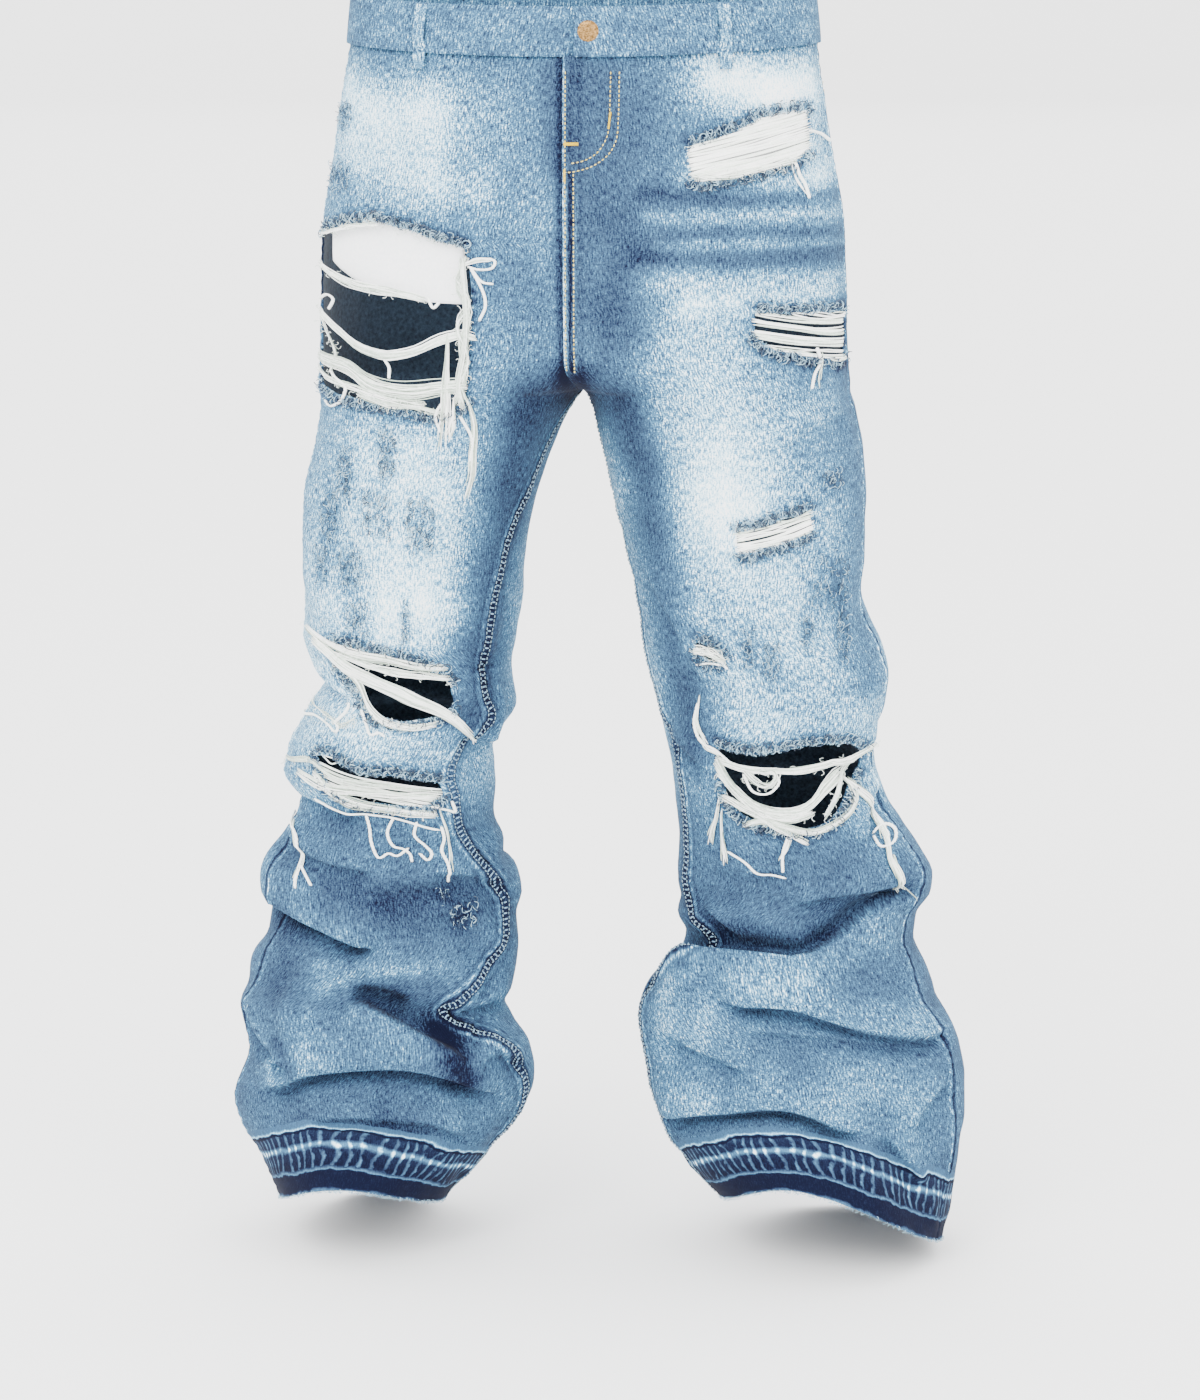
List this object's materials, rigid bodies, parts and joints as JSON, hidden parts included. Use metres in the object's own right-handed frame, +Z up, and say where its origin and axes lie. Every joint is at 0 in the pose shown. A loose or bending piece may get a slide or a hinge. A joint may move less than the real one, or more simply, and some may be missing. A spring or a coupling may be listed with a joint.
{
  "type": "ripped jeans",
  "caption": "Baggy ripped jeans in their worn form, hollow and open at waist and hems, with torn thighs and knees, crosswise threads and frayed let-down hems.",
  "frame": {"origin": "centre of the waist opening, half way up the waistband", "axes": "+Z up, the front faces -Y, +X towards the wearer's left"},
  "size_m": [0.5993, 0.264, 1.0139],
  "materials": {
    "denim": "stone-washed, faded twill denim",
    "pocketing": "white plain-weave pocket cloth",
    "weft_threads": "loose off-white cotton weft threads",
    "brass": "aged brass"
  },
  "bodies": {
    "root": {"front_right": "denim", "front_left": "denim", "back_right": "denim", "back_left": "denim", "yoke_right": "denim", "yoke_left": "denim", "back_pocket_right": "denim", "back_pocket_left": "denim", "waistband": "denim", "belt_loop_1": "denim", "belt_loop_2": "denim", "belt_loop_3": "denim", "belt_loop_4": "denim", "belt_loop_5": "denim", "fly_shield": "denim", "pocket_bag_right": "pocketing", "pocket_bag_left": "pocketing", "ladder_pocket": "weft_threads", "ladder_hip": "weft_threads", "ladder_thigh": "weft_threads", "ladder_knee": "weft_threads", "threads_thigh_upper": "weft_threads", "threads_thigh_lower": "weft_threads", "threads_knee_right": "weft_threads", "threads_knee_left": "weft_threads", "zip_tape": "brass", "zip_slider": "brass", "button": "brass"}
  },
  "joints": []
}
